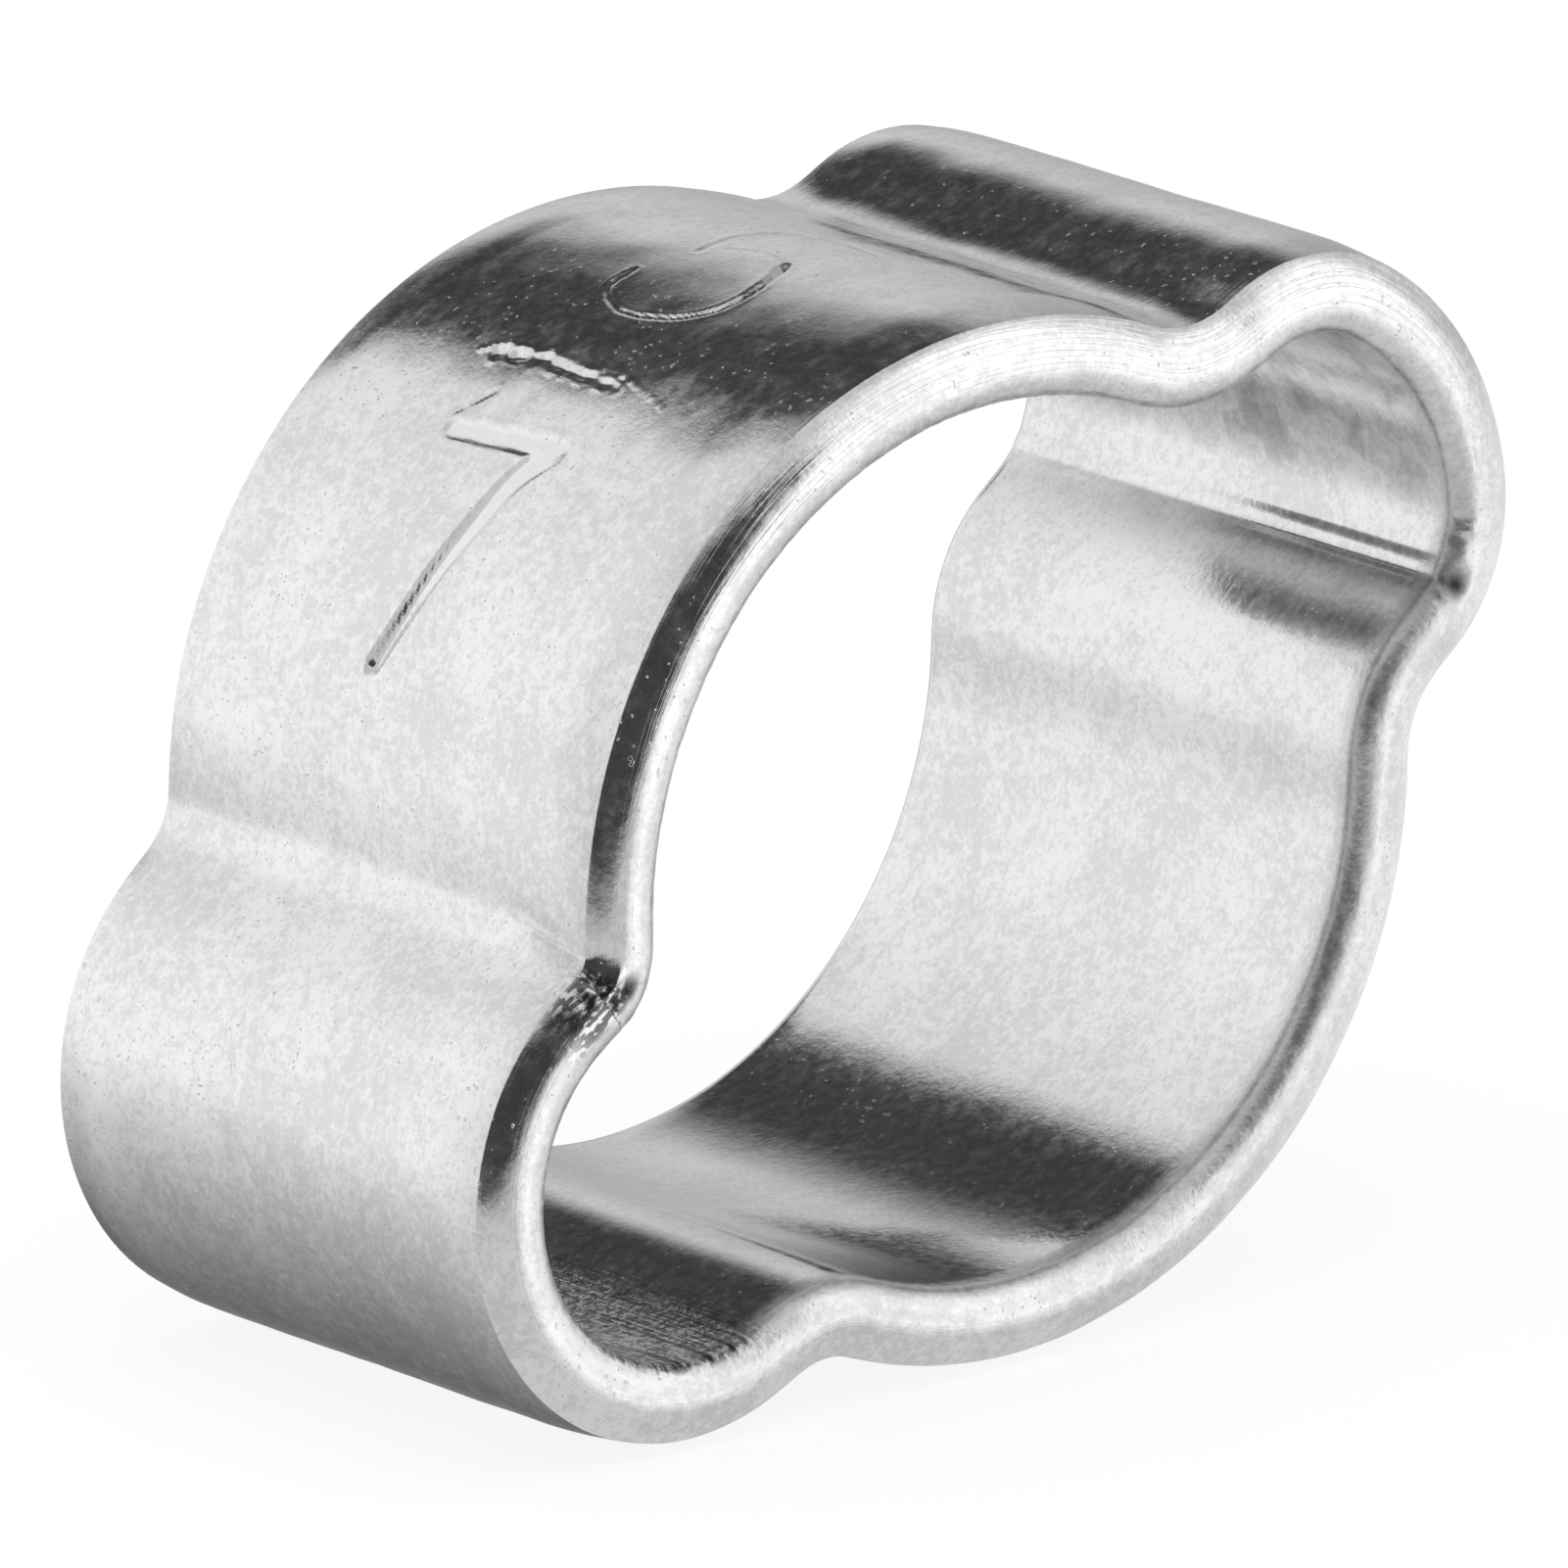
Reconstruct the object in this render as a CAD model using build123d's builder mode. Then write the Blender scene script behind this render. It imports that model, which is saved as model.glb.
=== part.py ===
"""Two-ear hose clamp: one closed band of steel tube with an ear pressed out on each side.

Sizes are in millimetres. The bore runs along Y, with its centre at the origin, and +Z is up. The
clamp lies as it comes to rest on a table: on its ring and on ear B, with ear A raised to the right.

The wall is a strip of even thickness that follows one closed path of tangent arcs. Seen along the
bore, the path is the ring, a concave root, the ear's shoulder, its flatter crown, the other
shoulder, the other root, and the same again for the second ear.
"""

from build123d import *
from math import acos, asin, atan2, cos, degrees, hypot, radians, sin
import os

# Band
BORE_DIAMETER = 7.0
WALL = 0.72
BAND_WIDTH = 5.4

# Ear A, on the right: height over the ring, inside radii, half angle of the crown, root radius
EAR_A_HEIGHT = 1.54
EAR_A_CROWN_RADIUS = 1.92
EAR_A_SHOULDER_RADIUS = 0.8
EAR_A_CROWN_HALF_ANGLE = 27.0
EAR_A_ROOT_RADIUS = 0.75

# Ear B, on the left: a rounder ear with tighter roots
EAR_B_HEIGHT = 1.75
EAR_B_CROWN_RADIUS = 1.5
EAR_B_SHOULDER_RADIUS = 1.44
EAR_B_CROWN_HALF_ANGLE = 20.0
EAR_B_ROOT_RADIUS = 0.4

# Edges of the cut ends, rounded by tumbling
OUTER_EDGE_ROUND = 0.24
INNER_EDGE_ROUND = 0.22

BORE_RADIUS = BORE_DIAMETER / 2


class Ear:
    """One ear, measured along and across its own centre line, with its radii inside the wall."""

    def __init__(self, height, crown_radius, shoulder_radius, crown_half_angle, root_radius):
        self.crown_radius = crown_radius
        self.shoulder_radius = shoulder_radius
        self.crown_half_angle = crown_half_angle

        # The root's arc lies outside the wall, so the bore side of the wall is WALL further out
        self.root_radius = root_radius + WALL

        # Centres of the crown and of the shoulder on its counterclockwise side
        self.crown_centre = BORE_RADIUS + height - crown_radius
        step = crown_radius - shoulder_radius
        self.shoulder_along = self.crown_centre + step * cos(radians(crown_half_angle))
        self.shoulder_across = step * sin(radians(crown_half_angle))
        self.shoulder_distance = hypot(self.shoulder_along, self.shoulder_across)
        self.shoulder_lean = degrees(atan2(self.shoulder_across, self.shoulder_along))

        # The root touches the ring and the shoulder, which fixes the triangle of their centres
        self.root_distance = BORE_RADIUS + self.root_radius
        reach = self.root_radius + shoulder_radius
        lean_cosine = (self.root_distance**2 + self.shoulder_distance**2 - reach**2) / (
            2 * self.root_distance * self.shoulder_distance
        )
        self.root_angle = self.shoulder_lean + degrees(acos(lean_cosine))
        across = self.root_distance * sin(radians(self.root_angle)) - self.shoulder_across
        along = self.root_distance * cos(radians(self.root_angle)) - self.shoulder_along
        self.shoulder_end_angle = degrees(atan2(across, along))


ear_a = Ear(
    EAR_A_HEIGHT,
    EAR_A_CROWN_RADIUS,
    EAR_A_SHOULDER_RADIUS,
    EAR_A_CROWN_HALF_ANGLE,
    EAR_A_ROOT_RADIUS,
)
ear_b = Ear(
    EAR_B_HEIGHT,
    EAR_B_CROWN_RADIUS,
    EAR_B_SHOULDER_RADIUS,
    EAR_B_CROWN_HALF_ANGLE,
    EAR_B_ROOT_RADIUS,
)

# At rest the ring and ear B's lower shoulder touch the same flat surface
REST_RISE = asin((BORE_RADIUS - EAR_B_SHOULDER_RADIUS) / ear_b.shoulder_distance)
EAR_A_DIRECTION = degrees(REST_RISE) - ear_b.shoulder_lean
EAR_B_DIRECTION = EAR_A_DIRECTION + 180


def at(distance, angle):
    """Point at a distance from the bore's centre, at an angle counterclockwise from +X."""
    return (distance * cos(radians(angle)), distance * sin(radians(angle)))


def ear_line(ear, direction, outward):
    """Seven arcs of one ear at a distance outward from the bore side of the wall."""
    shoulder_radius = ear.shoulder_radius + outward
    root_radius = ear.root_radius - outward
    root_sweep = ear.root_angle - ear.shoulder_end_angle

    for side in (-1, 1):
        root_centre = at(ear.root_distance, direction + side * ear.root_angle)
        ring_end = direction + side * ear.root_angle + 180
        CenterArc(root_centre, root_radius, ring_end, -side * root_sweep)

        shoulder_centre = at(ear.shoulder_distance, direction + side * ear.shoulder_lean)
        shoulder_sweep = side * (ear.shoulder_end_angle - ear.crown_half_angle)
        crown_end = direction + side * ear.crown_half_angle
        CenterArc(shoulder_centre, shoulder_radius, crown_end, shoulder_sweep)

    crown_start = direction - ear.crown_half_angle
    crown_centre = at(ear.crown_centre, direction)
    CenterArc(crown_centre, ear.crown_radius + outward, crown_start, 2 * ear.crown_half_angle)


def band_outline(outward):
    """Closed outline of the band at a distance outward from the bore side of the wall."""
    with BuildLine() as outline:
        ear_line(ear_a, EAR_A_DIRECTION, outward)
        ear_line(ear_b, EAR_B_DIRECTION, outward)
        ring_sweep = 180 - ear_a.root_angle - ear_b.root_angle
        for start in (EAR_A_DIRECTION + ear_a.root_angle, EAR_B_DIRECTION + ear_b.root_angle):
            CenterArc((0, 0), BORE_RADIUS + outward, start, ring_sweep)
    return outline.edges()


with BuildPart() as clamp_band:
    with BuildSketch(Plane.XZ):
        make_face(band_outline(WALL))
        make_face(band_outline(0), mode=Mode.SUBTRACT)
    extrude(amount=BAND_WIDTH / 2, both=True)

    for end in (0, -1):
        cut_end = clamp_band.faces().sort_by(Axis.Y)[end]
        fillet(cut_end.outer_wire().edges(), OUTER_EDGE_ROUND)
        cut_end = clamp_band.faces().sort_by(Axis.Y)[end]
        fillet(cut_end.inner_wires()[0].edges(), INNER_EDGE_ROUND)

clamp_band.part.label = "clamp_band"

os.makedirs("parts", exist_ok=True)
export_step(clamp_band.part, "parts/clamp_band.step")
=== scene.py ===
"""Looks of a two-ear hose clamp: the pressed steel band, its zinc plate, and a small photo studio.

Lengths of the clamp are named in millimetres, as its drawing gives them, and are turned to metres
when a mesh is made. The bore runs along Y and +Z is up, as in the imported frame.
"""

import logging
import math
from dataclasses import dataclass, field

import bpy
import numpy as np
from mathutils import Matrix, Vector


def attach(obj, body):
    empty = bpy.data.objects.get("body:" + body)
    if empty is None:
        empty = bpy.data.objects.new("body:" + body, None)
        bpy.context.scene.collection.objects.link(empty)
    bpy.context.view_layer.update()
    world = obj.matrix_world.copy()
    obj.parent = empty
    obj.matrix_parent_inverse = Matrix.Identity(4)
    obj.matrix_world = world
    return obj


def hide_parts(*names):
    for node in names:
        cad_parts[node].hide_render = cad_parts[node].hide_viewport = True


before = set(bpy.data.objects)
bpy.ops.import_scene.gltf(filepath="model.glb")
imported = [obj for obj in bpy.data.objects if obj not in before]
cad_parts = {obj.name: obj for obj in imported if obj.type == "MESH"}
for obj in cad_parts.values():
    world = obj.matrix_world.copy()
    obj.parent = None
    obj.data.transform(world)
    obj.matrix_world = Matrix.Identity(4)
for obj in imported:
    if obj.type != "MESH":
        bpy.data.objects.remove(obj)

MILLIMETRE = 0.001
PHOTO_PIXELS = 1601
UNWRAP_MILLIMETRES = 10.0

Socket = bpy.types.NodeSocket
Window = tuple[float, float, float, float]
Waves = tuple[int, float, float, int]
Pair = tuple[float, float]

logger = logging.getLogger("hose_clamp")


def smooth_step(
    low: float | np.ndarray, high: float | np.ndarray, value: np.ndarray
) -> np.ndarray:
    """Rise from 0 at low to 1 at high along a cubic that is level at both ends.

    Args:
        low: Value where the rise starts.
        high: Value where the rise ends. It may be below low, which makes a fall.
        value: Values to look up.

    Returns:
        The rise at each value, from 0 to 1.
    """
    share = np.clip((value - low) / (high - low), 0.0, 1.0)
    return share * share * (3.0 - 2.0 * share)


def window(start: float, full: float, fading: float, end: float, value: np.ndarray) -> np.ndarray:
    """1 between full and fading, 0 before start and after end, and smooth steps between."""
    return smooth_step(start, full, value) * smooth_step(end, fading, value)


def add_object(name: str, data: bpy.types.ID) -> bpy.types.Object:
    """New object in the scene, for a mesh, a lamp or a camera."""
    made = bpy.data.objects.new(name, data)
    bpy.context.scene.collection.objects.link(made)
    return made


@dataclass(frozen=True)
class Stretch:
    """One piece of the band's path, along the middle of the wall.

    Args:
        normal: Angle of the outward normal where the piece starts, in radians from +X.
        turn: Angle that the normal turns through, negative in a concave root.
        length: Length of the piece.
    """

    normal: float
    turn: float
    length: float


@dataclass(frozen=True)
class EarShape:
    """Sizes of one ear: inside radii of crown and shoulders, outside radius of the roots.

    The flank angle is where the normal of the ear's straight flank points, from the ear's own
    direction.
    """

    height: float
    crown_radius: float
    shoulder_radius: float
    crown_half_angle: float
    flank_angle: float
    root_radius: float


class BandPath:
    """Closed path that the wall follows: ring, root, flank, shoulder, crown, and back again."""

    bore_radius = 3.5
    wall = 0.72
    ear_a = EarShape(1.54, 1.90, 0.84, math.radians(27.0), math.radians(86.0), 0.80)
    ear_b = EarShape(1.73, 1.54, 1.44, math.radians(6.5), math.radians(83.0), 0.50)
    smoothing = 0.09
    fine_samples = 6000
    ring_between = 8
    roots = (1, 7, 9, 15)

    def __init__(self, pinch: EarShape | None = None) -> None:
        """Work out the pieces of the path, then sample them finely.

        Args:
            pinch: Another shape for ear B, where its roots are pinched tighter.
        """
        self.ear_b = pinch or self.ear_b
        along, across = self._shoulder(self.ear_b)
        step_up = self.bore_radius - self.ear_b.shoulder_radius
        rise = math.asin(step_up / math.hypot(along, across))
        self.ear_a_direction = rise - math.atan2(across, along)
        self.ear_b_direction = self.ear_a_direction + math.pi
        self.stretches = self._stretches()
        self._sample_finely()

    @staticmethod
    def _shoulder(ear: EarShape) -> tuple[float, float]:
        """Place of a shoulder's centre along and across its ear."""
        crown_centre = BandPath.bore_radius + ear.height - ear.crown_radius
        step = ear.crown_radius - ear.shoulder_radius
        return (
            crown_centre + step * math.cos(ear.crown_half_angle),
            step * math.sin(ear.crown_half_angle),
        )

    def _ear(self, ear: EarShape, direction: float) -> tuple[list[Stretch], float]:
        """Seven pieces of one ear, counterclockwise, from root to root.

        A root's arc touches the flank's line and the ring. Its centre is as far from the line as
        its radius, and as far from the bore's centre as both radii together, which places it.

        Args:
            ear: Sizes of the ear.
            direction: Direction in which the ear points.

        Returns:
            The pieces, and the angle from the ear's middle to its roots' centres.
        """
        half = self.wall / 2
        root = ear.root_radius + half
        shoulder = ear.shoulder_radius + half
        along, across = self._shoulder(ear)
        sine, cosine = math.sin(ear.flank_angle), math.cos(ear.flank_angle)
        out = along * cosine + across * sine + shoulder + root
        reach = self.bore_radius + half + root
        back = math.sqrt(reach**2 - out**2)
        root_angle = math.atan2(out * sine - back * cosine, out * cosine + back * sine)
        flank = (along * sine - across * cosine) - back
        root_turn = ear.flank_angle - root_angle
        shoulder_turn = ear.flank_angle - ear.crown_half_angle
        crown = 2 * ear.crown_half_angle
        pieces = [
            Stretch(direction - root_angle, -root_turn, root_turn * root),
            Stretch(direction - ear.flank_angle, 0.0, flank),
            Stretch(direction - ear.flank_angle, shoulder_turn, shoulder_turn * shoulder),
            Stretch(direction - ear.crown_half_angle, crown, crown * (ear.crown_radius + half)),
            Stretch(direction + ear.crown_half_angle, shoulder_turn, shoulder_turn * shoulder),
            Stretch(direction + ear.flank_angle, 0.0, flank),
            Stretch(direction + ear.flank_angle, -root_turn, root_turn * root),
        ]
        return pieces, root_angle

    def _stretches(self) -> list[Stretch]:
        """All pieces counterclockwise, from the ring under the clamp round to ear B."""
        pieces_a, angle_a = self._ear(self.ear_a, self.ear_a_direction)
        pieces_b, angle_b = self._ear(self.ear_b, self.ear_b_direction)
        sweep = math.pi - angle_a - angle_b
        length = sweep * (self.bore_radius + self.wall / 2)
        lower = Stretch(self.ear_b_direction + angle_b - 2 * math.pi, sweep, length)
        upper = Stretch(self.ear_a_direction + angle_a, sweep, length)
        return [lower, *pieces_a, upper, *pieces_b]

    def _sample_finely(self) -> None:
        """Sample the normal's angle, ease its changes, and walk along it to get the path.

        The angle is blurred along the path by a narrow bell curve. The path is the running sum of
        the steps across the normals, with the small gap at the end shared out over all of them.
        """
        count = self.fine_samples
        lengths = np.array([piece.length for piece in self.stretches])
        ends = np.concatenate([[0.0], np.cumsum(lengths)])
        total = ends[-1]
        stations = (np.arange(count) + 0.5) * total / count
        index = np.clip(np.searchsorted(ends, stations) - 1, 0, len(lengths) - 1)
        share = (stations - ends[index]) / lengths[index]
        normal = np.array([piece.normal for piece in self.stretches])[index]
        turn = np.array([piece.turn for piece in self.stretches])[index]
        even = np.arange(count) * 2 * math.pi / count
        swing = normal + turn * share - even
        frequency = np.fft.rfftfreq(count, total / count)
        bell = np.exp(-2 * (math.pi * frequency * self.smoothing) ** 2)
        angle = np.fft.irfft(np.fft.rfft(swing) * bell, count) + even
        walk = np.stack([-np.sin(angle), np.cos(angle)], axis=1) * total / count
        walk -= walk.mean(axis=0)
        line = np.cumsum(walk, axis=0) - walk / 2
        middle = int(count * lengths[0] / total / 2)
        radius = self.bore_radius + self.wall / 2
        anchor = radius * np.array([math.cos(angle[middle]), math.sin(angle[middle])])
        line += anchor - line[middle]
        self.length = total
        self._ends = ends
        self._stations = stations
        self._line = line
        self._angle = angle

    def station_of_ring(self, angle: float) -> float:
        """Station on the upper part of the ring at an angle round the bore."""
        upper = self.stretches[self.ring_between]
        return self._ends[self.ring_between] + (angle - upper.normal) * (
            self.bore_radius + self.wall / 2)

    def ring_angle(self, station: np.ndarray) -> np.ndarray:
        """Angle round the bore, counted on the upper part of the ring and on beyond its ends."""
        upper = self.stretches[self.ring_between]
        return upper.normal + (station - self._ends[self.ring_between]) / (
            self.bore_radius + self.wall / 2)

    def fold_mask(self, station: np.ndarray) -> np.ndarray:
        """1 in the four roots and near them, and 0 on the rest of the path."""
        mask = np.zeros_like(station)
        for root in self.roots:
            low, high = self._ends[root] - 0.2, self._ends[root + 1] + 0.2
            near = window(low - 0.5, low + 0.1, high - 0.1, high + 0.5, station)
            mask = np.maximum(mask, near)
        return mask

    def same_place(self, other: "BandPath", station: np.ndarray) -> np.ndarray:
        """Stations on this path that lie on the same pieces as those on another path."""
        return np.interp(station, other._ends, self._ends)

    def at(self, station: np.ndarray) -> tuple[np.ndarray, np.ndarray]:
        """Points in the middle of the wall and outward normals.

        Args:
            station: Lengths along the path.

        Returns:
            Points and unit normals, each with X and Z.
        """
        wrapped = np.mod(station, self.length)
        stations = np.concatenate(
            [self._stations[-1:] - self.length, self._stations, self._stations[:1] + self.length]
        )
        line = np.concatenate([self._line[-1:], self._line, self._line[:1]])
        angle = np.concatenate(
            [self._angle[-1:] - 2 * math.pi, self._angle, self._angle[:1] + 2 * math.pi]
        )
        points = np.stack([np.interp(wrapped, stations, line[:, k]) for k in (0, 1)], axis=1)
        turned = np.interp(wrapped, stations, angle)
        return points, np.stack([np.cos(turned), np.sin(turned)], axis=1)


@dataclass(frozen=True)
class CutEnd:
    """Form of one cut end of the wall, from the outside inwards.

    The outer face leans in by a small taper, a crisp edge turns on at once, a wide crown turns the
    rest of the way to the cut face, and a quarter of an ellipse leads into the bore.

    Args:
        taper: Lean of the outer face before the edge, in radians.
        taper_length: Length of the leaning part.
        edge_radius: Radius of the crisp edge.
        edge_turn: Angle from outward at which the crown takes over.
        inner_through: Size of the inner rounding through the wall.
        inner_along: Size of the inner rounding along the bore.
        points: Number of points on the taper's bend, the edge, the crown and the inner rounding.
    """

    taper: float
    taper_length: float
    edge_radius: float
    edge_turn: float
    inner_through: float
    inner_along: float
    points: tuple[int, int, int, int]

    def outline(self, wall: float) -> tuple[np.ndarray, np.ndarray, np.ndarray]:
        """Line over the cut end.

        While the normal turns from a to b on an arc of radius r, depth grows as r times the fall
        of the cosine, and the line moves forward as r times the rise of the sine.

        Args:
            wall: Thickness of the wall.

        Returns:
            Depth into the wall, setback from the cut face, and the angle of the normal.
        """
        bend = self.taper_length / 2
        depth, forward = bend * self.taper / 2, bend
        depth += bend * math.sin(self.taper)
        forward += bend * math.cos(self.taper)
        fall = self.edge_radius * (math.cos(self.taper) - math.cos(self.edge_turn))
        crown_radius = (wall - self.inner_through - depth - fall) / math.cos(self.edge_turn)
        angles, depths, forwards = [], [], []
        bend_turn = np.linspace(0.0, self.taper, self.points[0])
        angles.append(bend_turn)
        depths.append(bend * bend_turn**2 / self.taper / 2)
        forwards.append(bend * bend_turn / self.taper)
        for start, end, through, along, count in (
            (self.taper, self.edge_turn, self.edge_radius, self.edge_radius, self.points[1]),
            (self.edge_turn, math.pi / 2, crown_radius, crown_radius, self.points[2]),
            (math.pi / 2, math.pi, self.inner_through, self.inner_along, self.points[3]),
        ):
            turn = np.linspace(start, end, count, endpoint=end == math.pi)
            angles.append(turn)
            depths.append(depth + through * (math.cos(start) - np.cos(turn)))
            forwards.append(forward + along * (np.sin(turn) - math.sin(start)))
            depth += through * (math.cos(start) - math.cos(end))
            forward += along * (math.sin(end) - math.sin(start))
        ahead = np.concatenate(forwards)
        return np.concatenate(depths), ahead.max() - ahead, np.concatenate(angles)


@dataclass(frozen=True)
class WallSection:
    """Closed section of the wall: outer face, front cut end, bore face and rear cut end."""

    wall: float = 0.72
    width: float = 5.40
    front: CutEnd = CutEnd(
        math.radians(6.0), 0.60, 0.035, math.radians(45.0), 0.25, 0.20, (4, 5, 18, 15))
    rear: CutEnd = CutEnd(
        math.radians(7.0), 0.40, 0.06, math.radians(60.0), 0.32, 0.24, (3, 4, 8, 9))
    outer_points: int = 116
    inner_points: int = 29
    beyond: float = 9.0

    def contour(self) -> "SectionLine":
        """Walk the section once: forwards on the outside, and back along the bore.

        Returns:
            The closed line.
        """
        half_wall, half_width = self.wall / 2, self.width / 2
        depth, setback, turn = self.front.outline(self.wall)
        rear_depth, rear_setback, rear_turn = self.rear.outline(self.wall)
        front_along = setback - half_width
        rear_along = (half_width - rear_setback)[::-1]
        outer_along = self._outer_stations(rear_along[-1], front_along[0])
        inner_along = np.linspace(front_along[-1], rear_along[0], self.inner_points + 2)[1:-1]
        outer, inner = np.zeros(self.outer_points), np.ones(self.inner_points)
        return SectionLine(
            across=half_wall - np.concatenate(
                [outer, depth, inner * self.wall, rear_depth[::-1]]),
            along=np.concatenate([outer_along, front_along, inner_along, rear_along]),
            angle=np.concatenate([outer, -turn, inner * -math.pi, rear_turn[::-1]]),
            front_depth=np.concatenate([
                outer - 1, depth, inner * self.beyond, np.full(len(rear_depth), self.beyond)]),
            inside=np.concatenate([
                outer, smooth_step(0.62, 0.70, depth), inner,
                smooth_step(0.40, 0.55, rear_depth)[::-1]]),
        )

    def _outer_stations(self, rear: float, front: float) -> np.ndarray:
        """Places along the outer face, closest together where the size marks are stamped."""
        fine = np.linspace(rear, front, 2000)
        density = 1.0 + 2.4 * smooth_step(1.75, 1.25, np.abs(fine))
        reach = np.concatenate([[0.0], np.cumsum((density[1:] + density[:-1]) / 2)])
        wanted = np.linspace(0.0, reach[-1], self.outer_points + 2)[1:-1]
        return np.interp(wanted, reach, fine)


@dataclass(frozen=True)
class SectionLine:
    """Points round the wall's section.

    The front depth is how far into the wall a point of the front cut end lies. It is below 0 on
    the outer face and far above the wall's thickness on the bore face and on the rear end.
    """

    across: np.ndarray
    along: np.ndarray
    angle: np.ndarray
    front_depth: np.ndarray
    inside: np.ndarray

    def walked(self) -> np.ndarray:
        """Length of the line up to each of its points."""
        step = np.hypot(np.diff(self.across), np.diff(self.along))
        return np.concatenate([[0.0], np.cumsum(step)])


@dataclass(frozen=True)
class Stroke:
    """One stroke of a stamped numeral.

    Args:
        points: Points of its middle line, right and up from the numeral's centre.
        half_width: Half its width at the surface, at its start and at its end.
        depth: Depth at its start and at its end, negative where the metal is raised.
        roughness: How unevenly the stamp has bitten.
        floor: Share of the half width that is level, at its start and at its end: 0 makes a V.
        slant: How much deeper it is at its right-hand edge than in its middle.
    """

    points: tuple[tuple[float, float], ...]
    half_width: tuple[float, float]
    depth: tuple[float, float]
    roughness: float = 0.0
    floor: tuple[float, float] = (0.0, 0.0)
    slant: float = 0.0

    def middle_line(self, samples: int = 60) -> np.ndarray:
        """Smooth line through the points, as a cubic that turns evenly at each of them."""
        points = np.array(self.points)
        if len(points) == 2:
            share = np.linspace(0, 1, samples)[:, None]
            return points[0] * (1 - share) + points[1] * share
        padded = np.vstack([2 * points[0] - points[1], points, 2 * points[-1] - points[-2]])
        place = np.linspace(0, len(points) - 1 - 1e-9, samples)
        piece = place.astype(int)
        t = (place - piece)[:, None]
        p0, p1, p2, p3 = (padded[piece + k] for k in range(4))
        return 0.5 * (2 * p1 + (p2 - p0) * t + (2 * p0 - 5 * p1 + 4 * p2 - p3) * t**2
                      + (3 * p1 - p0 - 3 * p2 + p3) * t**3)


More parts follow.
